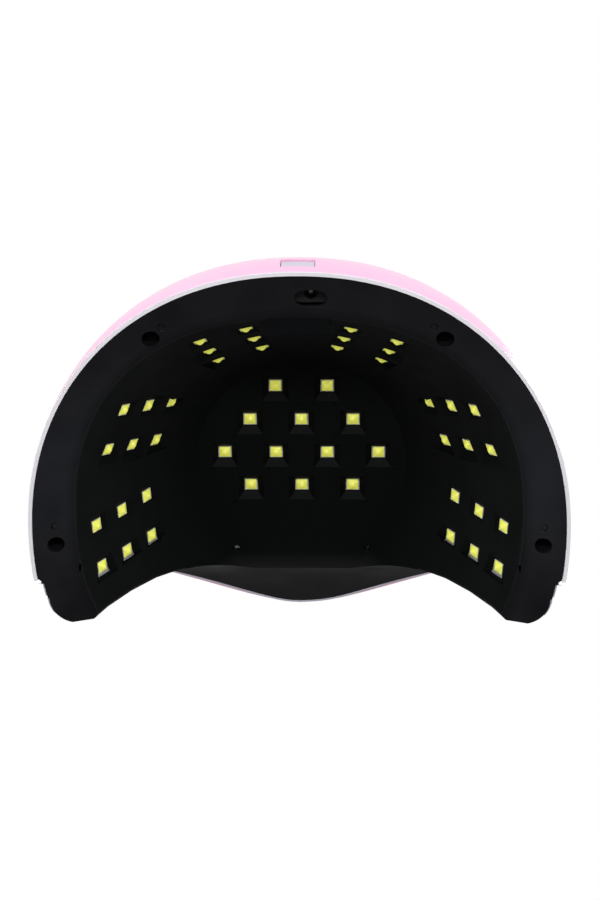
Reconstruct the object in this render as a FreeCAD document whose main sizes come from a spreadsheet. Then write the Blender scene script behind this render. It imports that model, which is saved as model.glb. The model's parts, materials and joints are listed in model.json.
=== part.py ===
"""UV LED nail lamp: a domed shell over a black bowl-shaped liner that carries the LEDs.

Millimetres. X runs across the lamp, -Y points to the hand opening, +Z points up.
The origin is on the table, in the lamp's middle plane, below the middle of the hand space.
"""
import FreeCAD, Part
import math
import os
import Sketcher
from FreeCAD import Matrix, Placement, Rotation, Vector

os.makedirs("parts", exist_ok=True)
doc = FreeCAD.newDocument("NailLamp")

# ---------------------------------------------------------------- driving dimensions

DIMENSIONS = {
    # outer dome: plan reaches are counted from the shell's widest line
    "ShellWidestY": -26.0,
    "ShellHalfWidth": 115.0,
    "ShellBackReach": 122.3,
    "BaseFrontReach": 112.0,
    "TopFrontReach": 77.0,
    "DomeHeight": 98.0,
    "TopFlatHeight": 95.0,
    "PlanPower": 2.15,
    "SideProfilePower": 2.3,
    "BackProfilePower": 2.25,
    "ShellWall": 2.0,
    # white ring under the shell
    "TrimWidth": 1.6,
    "TrimHeight": 0.9,
    "TrimTongueHeight": 4.0,
    "TrimTongueInset": 1.2,
    "TongueInnerInset": 2.35,
    # front of the lamp
    "FrontFaceY": -61.0,
    "BrowStartHeight": 33.0,
    "BrowRadius": 60.0,
    "FootRadius": 118.0,
    "ShellEdgeY": -43.5,
    "ShellEdgeRadius": 100.0,
    "FrameInset": 2.8,
    "FrameTopInset": 0.9,
    "FrameThinning": 0.6,
    "FrameWall": 1.4,
    "FrameTuck": 6.0,
    "FrameShows": 1.0,
    "LegCornerRadius": 13.4,
    "LegHalfSpan": 108.1,
    "FlangeTop": 2.6,
    "FlangeInset": 3.8,
    # liner rim and bowl: the bowl's reaches are counted from its own widest line
    "BowlWidestY": -19.0,
    "LinerGap": 0.1,
    "LinerWall": 2.2,
    "RimOuterHeight": 0.4,
    "RimInnerHeight": 5.0,
    "RimInnerHalfWidth": 95.5,
    "RimInnerBackReach": 94.0,
    "RimInnerFrontReach": 89.0,
    "RimPlanPower": 2.35,
    "CeilingHeight": 71.0,
    "CeilingHalfWidth": 47.5,
    "CeilingBackReach": 48.3,
    "CeilingFrontReach": 63.5,
    "CeilingWall": 1.8,
    # rim details
    "ScrewHoleDiameter": 7.4,
    "ScrewBossDiameter": 11.0,
    "ScrewBossHeight": 15.0,
    "ScrewBossRoof": 2.4,
    "ShellBossDiameter": 8.0,
    "ShellPilotDiameter": 3.0,
    "RearScrewX": 60.0,
    "RearScrewY": 66.5,
    "FrontScrewX": 104.0,
    "FrontScrewY": -27.6,
    "InletX": -5.3,
    "InletY": 84.4,
    "InletLength": 13.4,
    "InletWidth": 7.4,
    "BlockWidth": 26.0,
    "BlockFrontY": 67.6,
    "PinMarkTop": 3.3,
    "BlockDepth": 9.5,
    "BlockHeight": 11.0,
    # LEDs
    "LedSize": 5.4,
    "LedHeight": 0.9,
    "LensSize": 4.5,
    "LensHeight": 0.75,
    "LedWindow": 6.2,
    "BoardThickness": 1.6,
    "CeilingPitchX": 23.4,
    "CeilingPitchY": 16.4,
    "CeilingFirstRowY": 16.2,
    "CeilingFunnelMouth": 11.6,
    "CeilingFunnelDepth": 3.9,
    "FunnelBossWall": 1.2,
    "CeilingBoardRadius": 42.0,
    "CeilingBoardY": -8.0,
    "WallPitchAround": 20.0,
    "WallPitchUp": 16.6,
    "WallSlope": 54.0,
    "WallFunnelMouth": 11.0,
    "WallFunnelDepth": 1.6,
    "WallBoardWidth": 30.0,
    "WallBoardLength": 42.0,
    "RearGroupAzimuth": 68.3,
    "RearGroupTurn": 5.2,
    "RearGroupRadius": 77.5,
    "RearGroupHeight": 32.0,
    "MiddleGroupAzimuth": 25.7,
    "MiddleGroupTurn": -3.2,
    "MiddleGroupRadius": 76.6,
    "MiddleGroupHeight": 35.0,
    "FrontGroupAzimuth": -11.4,
    "FrontGroupTurn": 7.1,
    "FrontGroupRadius": 79.0,
    "FrontGroupHeight": 30.5,
    # control panel on top
    "PanelY": -42.0,
    "PanelWidth": 58.0,
    "PanelLength": 62.0,
    "PanelCorner": 16.0,
    "PanelThickness": 1.0,
    "PanelLedge": 2.0,
    "ControlBoardTop": 84.0,
    "ControlBoardWidth": 68.0,
    "ControlBoardLength": 54.0,
    "DisplayWidth": 26.0,
    "DisplayDepth": 17.0,
    "DisplayHeight": 8.8,
    "DisplayY": -28.0,
    "ButtonDiameter": 9.0,
    "ButtonPitch": 13.0,
    "ButtonRowY": -57.0,
    "ButtonRise": 0.8,
    "ButtonClearance": 0.15,
    "ButtonFlangeDiameter": 11.0,
    "PostDiameter": 5.6,
    "PostSpacingX": 60.0,
    "PostSpacingY": 46.0,
    # power button in the back wall
    "PowerWidth": 13.6,
    "PowerTall": 12.4,
    "PowerHeight": 14.6,
    "PowerGap": 0.25,
    "PowerRecess": 0.7,
    "PowerTravel": 1.1,
    "PowerFlangeY": 91.6,
    "PowerFlangeWall": 0.7,
    "PowerFlangeRim": 1.2,
    "PowerBoardHeight": 15.2,
    # hand sensor
    "SensorX": 30.5,
    "SensorY": -64.3,
    "SensorDiameter": 3.0,
}

sheet = doc.addObject("Spreadsheet::Sheet", "Dimensions")
for row, (alias, number) in enumerate(DIMENSIONS.items(), start=1):
    sheet.set(f"A{row}", alias)
    sheet.set(f"B{row}", str(number))
    sheet.setAlias(f"B{row}", alias)
doc.recompute()


def size(alias):
    """The number in the sheet under this alias."""
    return float(sheet.get(alias))


OUTLINE_POINTS = 32
DOME_LEVELS = (0, 0.12, 0.26, 0.41, 0.55, 0.68, 0.79, 0.88, 0.95, 1)
ARC_SHARE = 0.99      # how much of its radius a forward-leaning arc climbs
SNUG = 0.05           # gap between pieces that rest on each other
SEAT_ROOM = 0.4       # how much wider a seat is than its board
FLANGE_FREE = 1.0     # inset from which the liner is cut back for the frame
SHANK_HOLE = 1.7      # radii of the small round holes in the liner
PIN_MARK = 1.9
SENSOR_ROOM = 0.3
SMALL_PILOT = 1.05    # pilot radius for the board screws
BOARD_SCREW = (1.9, 1.4, 1.0)    # head radius, head height and shank radius
HOUSING_SCREW = (2.9, 2.0, 1.4)
BELOW = -3.0          # cutting solids start this far below the table
FAR = 200.0           # larger than any half-size of the lamp

# ---------------------------------------------------------------- outlines and domes


def outline(half_width, back, front, power, widest_y, height):
    """Closed egg-shaped wire: superellipse arcs behind and in front of the widest line."""
    points = []
    for step in range(OUTLINE_POINTS):
        angle = 2 * math.pi * step / OUTLINE_POINTS - math.pi / 2
        across, along = math.cos(angle), math.sin(angle)
        reach = back if along > 0 else front
        radius = (abs(across / half_width) ** power + abs(along / reach) ** power) ** (-1 / power)
        points.append(Vector(radius * across, widest_y + radius * along, height))
    knots = [step / OUTLINE_POINTS for step in range(OUTLINE_POINTS + 1)]
    curve = Part.BSplineCurve()
    curve.interpolate(Points=points, PeriodicFlag=True, Parameters=knots)
    return Part.Wire([curve.toShape()])


def profile_share(height_share, power):
    """How much of the base reach is left at this share of the dome's height."""
    return (1 - height_share ** power) ** (1 / power)


def dome(inset, top_inset=None):
    """The solid inside the shell's outer face, moved inwards by inset on all sides; with a
    top_inset the distance changes evenly from inset at the table to top_inset at the top."""
    if top_inset is None:
        top_inset = inset
    top = size("TopFlatHeight") - top_inset
    full = size("DomeHeight") - top_inset
    power, widest_y = size("PlanPower"), size("ShellWidestY")
    wires = []
    for share in DOME_LEVELS:
        height = share * top
        here = inset + (top_inset - inset) * share
        side_share = profile_share(height / full, size("SideProfilePower"))
        back_share = profile_share(height / full, size("BackProfilePower"))
        front = size("BaseFrontReach") + (size("TopFrontReach") - size("BaseFrontReach")) * share
        wires.append(outline(
            (size("ShellHalfWidth") - here) * side_share,
            (size("ShellBackReach") - here) * back_share,
            front - here, power, widest_y, height))
    upper = Part.makeLoft(wires, True, False)
    foot = outline(size("ShellHalfWidth") - inset, size("ShellBackReach") - inset,
                   size("BaseFrontReach") - inset, power, widest_y, BELOW)
    lower = Part.makeLoft([foot, wires[0]], True, True)
    return upper.fuse(lower)


def frame_dome(deeper):
    """The solid inside the front frame's outer face, moved inwards by deeper. The frame nears
    the shell's outer face towards the top, where the shell is thinned to make room for it."""
    return dome(size("FrameInset") + deeper, size("FrameTopInset") + deeper * size("FrameThinning"))


def slab(low, high):
    """Everything between two heights."""
    return Part.makeBox(2 * FAR, 2 * FAR, high - low, Vector(-FAR, -FAR, low))


def lean(height, radius):
    """How far an arc that starts upright has leaned forwards at this height above its start."""
    return radius - math.sqrt(radius ** 2 - height ** 2)


def ahead_of(upright_y, upright_height, radius, foot_radius=0.0):
    """The space in front of a side profile: upright at one height, leaning forwards along an
    arc above it, and below it straight or leaning forwards along a second arc."""

    def point(height, arc_radius):
        forward = lean(height - upright_height, arc_radius) if arc_radius else 0.0
        return Vector(-FAR, upright_y - forward, height)

    low = 2 * BELOW
    high = upright_height + ARC_SHARE * radius
    foot, upright, tip = point(low, foot_radius), point(upright_height, 0), point(high, radius)
    if foot_radius:
        lower = Part.Arc(foot, point((low + upright_height) / 2, foot_radius), upright).toShape()
    else:
        lower = Part.makeLine(foot, upright)
    upper = Part.Arc(upright, point((high + upright_height) / 2, radius), tip).toShape()
    corners = [tip, Vector(-FAR, -FAR, high), Vector(-FAR, -FAR, low), foot]
    straight = [Part.makeLine(start, end) for start, end in zip(corners, corners[1:])]
    return Part.Face(Part.Wire([lower, upper] + straight)).extrude(Vector(2 * FAR, 0, 0))


def mirrored(shape):
    """The same shape on the other side of the lamp."""
    flip = Matrix()
    flip.A11 = -1
    return shape.transformGeometry(flip)


def face_space(back_shift=0.0):
    """What lies in front of the liner's face, or of a surface that much behind it."""
    return ahead_of(size("FrontFaceY") + back_shift, size("BrowStartHeight"),
                    size("BrowRadius"), size("FootRadius"))


def front_face_y(height):
    """Where the liner's front face is at this height."""
    above = height - size("BrowStartHeight")
    radius = size("BrowRadius") if above > 0 else size("FootRadius")
    return size("FrontFaceY") - lean(above, radius)


def leg_corners(grow):
    """Blocks that round the outer front corners of both legs, to a radius larger by grow."""
    radius = size("LegCornerRadius")
    reach, tall = 40, 70
    centre = Vector(size("LegHalfSpan") - radius, front_face_y(0) + radius, BELOW)
    block = Part.makeBox(reach, reach, tall, centre - Vector(0, reach, 0))
    corner = block.cut(Part.makeCylinder(radius + grow, 2 * tall, centre - Vector(0, 0, tall / 2)))
    return [corner, mirrored(corner)]


def shell_front_space(back_shift=0.0):
    """What the pink shell leaves free at the front."""
    return ahead_of(size("ShellEdgeY") + back_shift, 0.0, size("ShellEdgeRadius"))


# ---------------------------------------------------------------- document helpers

SUBPARTS = []


def add_shape(label, shape):
    """A finished solid or group of solids as one sub-part."""
    feature = doc.addObject("Part::Feature", label)
    feature.Label = label
    feature.Shape = shape
    SUBPARTS.append(feature)
    return feature


def new_body(label, placement=None):
    """An empty PartDesign body, kept as one sub-part."""
    body = doc.addObject("PartDesign::Body", label)
    body.Label = label
    body.AllowCompound = True
    if placement is not None:
        body.Placement = placement
    SUBPARTS.append(body)
    return body


def plane_sketch(body, name, role="XY_Plane", offset=0.0):
    """An empty sketch on one of the body's own origin planes."""
    sketch = body.newObject("Sketcher::SketchObject", name)
    plane = [item for item in body.Origin.OriginFeatures if item.Role == role][0]
    sketch.AttachmentSupport = [(plane, "")]
    sketch.MapMode = "FlatFace"
    sketch.AttachmentOffset = Placement(Vector(0, 0, offset), Rotation())
    return sketch


def bind(sketch, constraint, expression):
    """Adds a constraint and drives it from the sheet."""
    index = sketch.addConstraint(constraint)
    sketch.setExpression(f"Constraints[{index}]", expression)


def evaluate(expression):
    """The value of a sheet expression such as Dimensions.LedSize / 2."""
    return float(sheet.evalExpression(expression.replace("Dimensions.", "")))


def add_rectangle(sketch, left, bottom, width, tall):
    """A rectangle whose corner and sides are sheet expressions."""
    x0, y0 = evaluate(left), evaluate(bottom)
    x1, y1 = x0 + evaluate(width), y0 + evaluate(tall)
    corners = [Vector(x0, y0, 0), Vector(x1, y0, 0), Vector(x1, y1, 0), Vector(x0, y1, 0)]
    first = sketch.GeometryCount
    for index in range(4):
        sketch.addGeometry(Part.LineSegment(corners[index], corners[(index + 1) % 4]), False)
    for index in range(4):
        sketch.addConstraint(
            Sketcher.Constraint("Coincident", first + index, 2, first + (index + 1) % 4, 1))
    for side, direction in enumerate(("Horizontal", "Vertical", "Horizontal", "Vertical")):
        sketch.addConstraint(Sketcher.Constraint(direction, first + side))
    bind(sketch, Sketcher.Constraint("DistanceX", first, 1, first, 2, x1 - x0), width)
    bind(sketch, Sketcher.Constraint("DistanceY", first + 1, 1, first + 1, 2, y1 - y0), tall)
    bind(sketch, Sketcher.Constraint("DistanceX", -1, 1, first, 1, x0), left)
    bind(sketch, Sketcher.Constraint("DistanceY", -1, 1, first, 1, y0), bottom)


def add_circle(sketch, x_expression, y_expression, diameter):
    """A circle whose centre and diameter are sheet expressions."""
    centre = Vector(evaluate(x_expression), evaluate(y_expression), 0)
    circle = sketch.addGeometry(
        Part.Circle(centre, Vector(0, 0, 1), evaluate(diameter) / 2), False)
    bind(sketch, Sketcher.Constraint("Diameter", circle, evaluate(diameter)), diameter)
    bind(sketch, Sketcher.Constraint("DistanceX", -1, 1, circle, 3, centre.x), x_expression)
    bind(sketch, Sketcher.Constraint("DistanceY", -1, 1, circle, 3, centre.y), y_expression)


def pad(body, sketch, length, reverse=False):
    """Material of this length on one side of the sketch."""
    feature = body.newObject("PartDesign::Pad", sketch.Name + "Pad")
    feature.Profile = sketch
    feature.setExpression("Length", length)
    feature.Reversed = reverse
    sketch.Visibility = False
    return feature


def pocket(body, sketch, length):
    """A cut of this length below the sketch."""
    feature = body.newObject("PartDesign::Pocket", sketch.Name + "Pocket")
    feature.Profile = sketch
    feature.setExpression("Length", length)
    sketch.Visibility = False
    return feature


# ---------------------------------------------------------------- shared places


def led_grid(columns, pitch_x, rows, pitch_y):
    """Centres of a rectangular grid around the origin."""
    return [((column - (columns - 1) / 2) * pitch_x, (row - (rows - 1) / 2) * pitch_y)
            for column in range(columns) for row in range(rows)]


def ceiling_led_places():
    """Rows of two, three, four and three LEDs, from the back to the front."""
    places = []
    for row, count in enumerate((2, 3, 4, 3)):
        for column in range(count):
            places.append((column - (count - 1) / 2, row))
    return places


def wall_group_placement(group, side):
    """Frame of one wall group: X around the bowl, Y up the slope, Z out of the bowl."""
    azimuth = math.radians(size(group + "GroupAzimuth"))
    facing = azimuth + math.radians(size(group + "GroupTurn"))
    slope = math.radians(size("WallSlope"))
    outward = Vector(side * math.cos(facing), math.sin(facing), 0)
    upslope = outward * -math.cos(slope) + Vector(0, 0, math.sin(slope))
    normal = outward * math.sin(slope) + Vector(0, 0, math.cos(slope))
    around = upslope.cross(normal)
    reach = Vector(side * math.cos(azimuth), math.sin(azimuth), 0) * size(group + "GroupRadius")
    origin = Vector(0, size("BowlWidestY"), size(group + "GroupHeight")) + reach
    return Placement(origin, Rotation(around, upslope, normal, "ZXY"))


WALL_GROUPS = [(group, word, side)
               for group in ("Rear", "Middle", "Front") for word, side in (("left", 1), ("right", -1))]


def screw_places():
    """The four screw positions: two at the back, two near the legs."""
    return [Vector(side * size(end + "ScrewX"), size(end + "ScrewY"), 0)
            for end in ("Rear", "Front") for side in (1, -1)]


def ceiling_screw_places():
    """The four screws of the ceiling board, between its LEDs."""
    return [Vector(x, y, 0) for x, y in ((-28, 18), (28, 18), (-12, -43), (12, -43))]


def post_places():
    """The four posts that carry the control board."""
    return [Vector(x, size("PanelY") + y, 0)
            for x, y in led_grid(2, size("PostSpacingX"), 2, size("PostSpacingY"))]


def frustum(mouth, floor, depth, overrun):
    """A square funnel: floor at z=0, mouth at z=-depth, carried on by overrun."""
    slope = (mouth - floor) / depth
    wide = mouth + slope * overrun
    return Part.makeWedge(-wide / 2, -depth - overrun, -wide / 2, -floor / 2, -floor / 2,
                          wide / 2, 0, wide / 2, floor / 2, floor / 2).rotate(
                              Vector(), Vector(1, 0, 0), 90)


# ---------------------------------------------------------------- outer shell, trim and frame


def control_panel_solid(grow, low, high):
    """Rounded rectangle of the control panel, grown on all sides, between two heights."""
    wide = size("PanelWidth") + 2 * grow
    long = size("PanelLength") + 2 * grow
    plate = Part.makeBox(wide, long, high - low, Vector(-wide / 2, size("PanelY") - long / 2, low))
    upright = [edge for edge in plate.Edges if abs(edge.tangentAt(edge.FirstParameter).z) > 0.9]
    return plate.makeFillet(size("PanelCorner") + grow, upright)


def power_window(grow, front, back):
    """The rectangular window of the power button, between two depths along Y."""
    wide = size("PowerWidth") + 2 * grow
    tall = size("PowerTall") + 2 * grow
    low = size("PowerHeight") - tall / 2
    return Part.makeBox(wide, back - front, tall, Vector(-wide / 2, front, low))


def shell_bosses(places, foot_height, diameter, pilot, pilot_depth):
    """Round bosses from foot_height up to the shell, and the screw pilots in their feet."""
    limit = dome(size("ShellWall") * 0.6)
    bosses, pilots = [], []
    for place in places:
        foot = Vector(place.x, place.y, foot_height)
        bosses.append(Part.makeCylinder(diameter / 2, FAR, foot).common(limit))
        pilots.append(Part.makeCylinder(pilot / 2, pilot_depth, foot))
    return bosses, pilots


def make_outer_shell(hull, inner):
    """The pink dome: open below and in front, with windows for panel and power button."""
    trim_height, top = size("TrimHeight"), size("TopFlatHeight")
    tongue_room = dome(size("TrimTongueInset") - SNUG).common(
        slab(BELOW, size("TrimTongueHeight") + SNUG))
    panel_seat = control_panel_solid(0.1, top - size("PanelThickness") - SNUG / 2, top + 1)
    panel_window = control_panel_solid(-size("PanelLedge"), top - 2 * size("ShellWall"), top + 1)
    button_window = power_window(size("PowerGap"), size("PowerFlangeY") - 10, FAR)
    shell = hull.cut(inner)
    shell = shell.cut([shell_front_space(), slab(BELOW - 1, trim_height + SNUG / 2)])
    frame_seat = frame_dome(-size("LinerGap")).common(
        shell_front_space(size("FrameTuck") + size("LinerGap")))
    shell = shell.cut(tongue_room).cut(frame_seat)
    shell = shell.cut([panel_seat, panel_window, button_window])
    screw_bosses, screw_pilots = shell_bosses(
        screw_places(), size("ScrewBossHeight") + 2 * SNUG,
        size("ShellBossDiameter"), size("ShellPilotDiameter"), 12)
    post_bosses, post_pilots = shell_bosses(
        post_places(), size("ControlBoardTop") + SNUG, size("PostDiameter"), 2 * SMALL_PILOT, 6)
    return shell.fuse(screw_bosses + post_bosses).cut(screw_pilots + post_pilots)


def make_base_trim_ring(hull):
    """White ring under the shell, with a tongue that centres the shell on it."""
    height = size("TrimHeight")
    lip = hull.cut(dome(size("TrimWidth"))).common(slab(0, height))
    tongue = dome(size("TrimTongueInset")).cut(dome(size("TongueInnerInset")))
    tongue = tongue.common(slab(height - SNUG, size("TrimTongueHeight")))
    return lip.fuse(tongue).cut(shell_front_space())


def make_front_frame():
    """Pale arch set in behind the shell's front edge, standing on the liner's flange."""
    arch = frame_dome(0.0).cut(frame_dome(size("FrameWall")))
    arch = arch.common(slab(size("FlangeTop") + SNUG, FAR))
    arch = arch.common(shell_front_space(size("FrameTuck")))
    return arch.cut([face_space()] + leg_corners(size("FrameShows")))


# ---------------------------------------------------------------- inner liner


def blend(first, second, share):
    """Numbers between two lists of numbers."""
    return [begin + (end - begin) * share for begin, end in zip(first, second)]


def rim_inner_values():
    """Half width, back and front reach, power and widest line of the rim's inner edge."""
    return (size("RimInnerHalfWidth"), size("RimInnerBackReach"), size("RimInnerFrontReach"),
            size("RimPlanPower"), size("BowlWidestY"))


def ceiling_values():
    """The same numbers for the edge of the ceiling."""
    return (size("CeilingHalfWidth"), size("CeilingBackReach"), size("CeilingFrontReach"),
            2.0, size("BowlWidestY"))


def bowl_outline(share, grow, height):
    """Section of the bowl: share 0 is the rim's inner edge, share 1 the ceiling."""
    half, back, front, power, widest_y = blend(rim_inner_values(), ceiling_values(), share)
    return outline(half + grow, back + grow, front + grow, power, widest_y, height)


def rim_outline(height, lift):
    """Section of the cone that the rim's lower face lies on, raised by lift."""
    edge = size("TrimWidth")
    outer = (size("ShellHalfWidth") - edge, size("ShellBackReach") - edge,
             size("BaseFrontReach") - edge, size("PlanPower"), size("ShellWidestY"))
    rise = size("RimInnerHeight") - size("RimOuterHeight")
    share = (height - lift - size("RimOuterHeight")) / rise
    return outline(*blend(outer, rim_inner_values(), share), height)


def bowl_body(grow, lift):
    """The bowl and its wall as one solid, from the rim up to above the ceiling."""
    low = size("RimInnerHeight") - 1
    return Part.makeLoft([bowl_outline(0, grow, low),
                          bowl_outline(1, grow, size("CeilingHeight") + lift)], True, True)


def cavity():
    """All the room under the rim and inside the bowl."""
    return Part.makeLoft([rim_outline(BELOW, 0.0),
                          bowl_outline(0, 0.0, size("RimInnerHeight")),
                          bowl_outline(1, 0.0, size("CeilingHeight"))], True, True)


def ceiling_funnels():
    """Square funnels and the bosses around them, one per ceiling LED."""
    mouth, depth = size("CeilingFunnelMouth"), size("CeilingFunnelDepth")
    window, thicker = size("LedWindow"), 2 * size("FunnelBossWall")
    collar_wide = window + thicker
    cuts, bosses = [], []
    for column, row in ceiling_led_places():
        floor = Vector(column * size("CeilingPitchX"),
                       size("CeilingFirstRowY") - row * size("CeilingPitchY"),
                       size("CeilingHeight") + depth)
        funnel = frustum(mouth, window, depth, 1.0)
        boss = frustum(mouth + thicker, collar_wide, depth - 0.5, 0.0)
        for solid in (funnel, boss):
            solid.translate(floor)
        shaft = Part.makeBox(window, window, 3, floor - Vector(window / 2, window / 2, 0))
        collar = Part.makeBox(collar_wide, collar_wide, size("LedHeight") - SNUG,
                              floor - Vector(collar_wide / 2, collar_wide / 2, 0))
        cuts += [funnel, shaft]
        bosses += [boss, collar]
    return cuts, bosses


def wall_windows():
    """Shallow funnels, LED windows and board seats of the six wall groups."""
    mouth, depth, window = size("WallFunnelMouth"), size("WallFunnelDepth"), size("LedWindow")
    reach = 4.5
    cuts = []
    wide = size("WallBoardWidth") + SEAT_ROOM
    long = size("WallBoardLength") + SEAT_ROOM
    for group, word, side in WALL_GROUPS:
        tools = [Part.makeBox(wide, long, 8, Vector(-wide / 2, -long / 2, size("LedHeight") - SNUG / 2))]
        for x, y in led_grid(2, size("WallPitchAround"), 3, size("WallPitchUp")):
            funnel = frustum(mouth, window, depth, 0.9)
            funnel.translate(Vector(x, y, 0))
            corner = Vector(x - window / 2, y - window / 2, -reach)
            tools += [funnel, Part.makeBox(window, window, 2 * reach, corner)]
        for tool in tools:
            tool.Placement = wall_group_placement(group, side).multiply(tool.Placement)
        cuts += tools
    return cuts


def ceiling_dimples():
    """Blind pin marks between the funnels: each row has its own half-pitch offsets."""
    pitch_x, pitch_y = size("CeilingPitchX"), size("CeilingPitchY")
    first = size("CeilingFirstRowY") - 0.45 * pitch_y
    step = 0.65 * pitch_x
    rows = ((0, (-2, -1, 0, 1, 2)), (1, (-2, -1, 0, 1, 2)), (2, (-2.9, -1, 1, 2.9)), (3, (-2, -1, 1, 2)))
    marks = []
    for row, columns in rows:
        for column in columns:
            centre = Vector(column * step, first - row * pitch_y, size("CeilingHeight") - 1)
            marks.append(Part.makeCylinder(0.8, 1.6, centre))
    return marks


def rim_holes():
    """Screw wells, the power inlet, the sensor holes and the small marks in the rim."""
    roof = size("ScrewBossHeight") - size("ScrewBossRoof")
    cuts = [inlet_slot(BELOW, size("PowerBoardHeight"))]
    for place in screw_places():
        low, high = place + Vector(0, 0, BELOW), place + Vector(0, 0, roof - 1)
        cuts.append(Part.makeCylinder(size("ScrewHoleDiameter") / 2, roof - BELOW, low))
        cuts.append(Part.makeCylinder(SHANK_HOLE, 10, high))
    for side in (1, -1):
        for x, y in ((103.9, -19.0), (55.4, 71.9)):
            foot = Vector(side * x, y, BELOW)
            ring = Part.makeCylinder(PIN_MARK, size("PinMarkTop") - BELOW, foot)
            cuts.append(ring.cut(Part.makeCylinder(PIN_MARK / 2, 2 * FAR, foot - Vector(0, 0, FAR))))
        notch_wide, notch_long, notch_x, notch_y = 1.0, 3.4, 94.6, -41.5
        cuts.append(Part.makeBox(notch_wide, notch_long, 3, Vector(
            side * notch_x - notch_wide / 2, notch_y, size("RimInnerHeight") - 0.8)))
        cuts.append(Part.makeCylinder(size("SensorDiameter") / 2 + SENSOR_ROOM, 8, Vector(
            side * size("SensorX"), size("SensorY"), size("CeilingHeight") - 2)))
    return cuts


def inlet_slot(low, high):
    """Obround column at the power inlet."""
    width = size("InletWidth")
    straight = Vector(size("InletLength") - width, 0, 0)
    left = Vector(size("InletX"), size("InletY"), low) - straight / 2
    column = Part.makeBox(straight.x, width, high - low, left - Vector(0, width / 2, 0))
    ends = [Part.makeCylinder(width / 2, high - low, end) for end in (left, left + straight)]
    return column.fuse(ends)


def flange_steps():
    """Where the rim's flange steps in ahead of the shell's front edge, with a slanting start."""
    low, high = BELOW, size("FlangeTop") + 2 * SNUG
    outer_x, inner_x = 113.6, 110.0
    rear_y, front_y = -41.2, -45.3
    band = dome(FLANGE_FREE).cut(dome(size("FlangeInset"))).common(slab(low, high))
    band = band.common(shell_front_space(front_y - size("ShellEdgeY")))
    corners = [Vector(outer_x, rear_y, low), Vector(inner_x, front_y, low),
               Vector(outer_x, front_y, low), Vector(outer_x, rear_y, low)]
    slant = Part.Face(Part.makePolygon(corners)).extrude(Vector(0, 0, high - low))
    return [band, slant, mirrored(slant)]


def opening_edge_x(height):
    """Half width of the hand opening: where the bowl's inner face meets the front face."""
    share = (height - size("RimInnerHeight")) / (size("CeilingHeight") - size("RimInnerHeight"))
    half, back, front, power, widest_y = blend(rim_inner_values(), ceiling_values(), share)
    along = (widest_y - front_face_y(height)) / front
    return half * (1 - along ** power) ** (1 / power)


def opening_edges():
    """Cuts that round both edges between bowl and front face, fading out towards the top."""
    tangent_share, depth_share = 0.65, 0.19
    outward, backward = Vector(1, 0, 0), Vector(0.41, 0.91, 0)
    middle = (outward + backward).normalize()
    wires = []
    for height, radius in ((0, 11.0), (12, 11.0), (24, 9.0), (36, 6.0), (48, 2.5)):
        corner = Vector(opening_edge_x(height), front_face_y(height), height)
        clear = corner - middle * 3
        first = corner + outward * (tangent_share * radius)
        second = corner + backward * (tangent_share * radius)
        arc = Part.Arc(first, corner + middle * (depth_share * radius), second)
        wires.append(Part.Wire([Part.makeLine(clear, first), arc.toShape(),
                                Part.makeLine(second, clear)]))
    edge = Part.makeLoft(wires, True, True)
    return [edge, mirrored(edge)]


def rim_body(inner_dome):
    """The rim: a flat lip under the shell, then a cone that rises to the bowl's edge."""
    thick, high = size("LinerWall"), 9.0
    lip = dome(size("TrimWidth") + SNUG).common(slab(0.0, 0.8))
    plate = lip.fuse(inner_dome.common(slab(0.75, high)))
    return plate.common(Part.makeLoft([rim_outline(BELOW, thick), rim_outline(high, thick)], True, True))


def make_inner_liner():
    """Black rim, bowl and front face in one moulding."""
    gap, wall = size("LinerGap"), size("LinerWall")
    inner_dome = dome(size("TongueInnerInset") + gap)
    inside_frame = frame_dome(size("FrameWall") + gap)
    around_bowl = bowl_body(wall / math.sin(math.radians(size("WallSlope"))), size("CeilingWall"))
    face = inside_frame.common(face_space(wall)).common(slab(0, FAR))
    rim, around_bowl, face = [piece.cut(face_space())
                              for piece in (rim_body(inner_dome), around_bowl, face)]
    bosses = [Part.makeCylinder(size("ScrewBossDiameter") / 2, size("ScrewBossHeight"), place)
              for place in screw_places()]
    bosses = [boss.common(inner_dome) for boss in bosses]
    body = rim.fuse([around_bowl, face] + bosses).cut(cavity()).cut(leg_corners(0.0))
    frame_room = dome(FLANGE_FREE, 0.0).cut(inside_frame)
    frame_room = frame_room.common(shell_front_space(size("FrameTuck") + gap))
    body = body.cut(frame_room.common(slab(size("FlangeTop"), FAR)))
    body = body.cut(flange_steps())
    body = body.cut(opening_edges())
    block = Part.makeBox(size("BlockWidth"), size("BlockDepth"), size("BlockHeight"), Vector(
        -size("BlockWidth") / 2, size("BlockFrontY"), size("RimInnerHeight") + 0.6))
    funnel_cuts, funnel_bosses = ceiling_funnels()
    post_top = size("CeilingHeight") + size("CeilingFunnelDepth") + size("LedHeight") - SNUG
    post_foot = size("CeilingHeight") + 0.5
    pilot_depth, post_radius = 3.6, 2.6
    for place in ceiling_screw_places():
        foot, pilot = place + Vector(0, 0, post_foot), place + Vector(0, 0, post_top - pilot_depth)
        funnel_bosses.append(Part.makeCylinder(post_radius, post_top - post_foot, foot))
        funnel_cuts.append(Part.makeCylinder(SMALL_PILOT, pilot_depth + 1, pilot))
    body = body.fuse([block] + funnel_bosses)
    return body.cut(funnel_cuts + wall_windows() + ceiling_dimples() + rim_holes())


# ---------------------------------------------------------------- LEDs and their boards


def led_squares(body, name, places, side, start, length):
    """One square pad per place, all in one sketch."""
    sketch = plane_sketch(body, name)
    sketch.AttachmentOffset = Placement(Vector(0, 0, start), Rotation())
    for x, y in places:
        add_rectangle(sketch, f"{x} - {side} / 2", f"{y} - {side} / 2", side, side)
    doc.recompute()
    pad(body, sketch, length)


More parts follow.
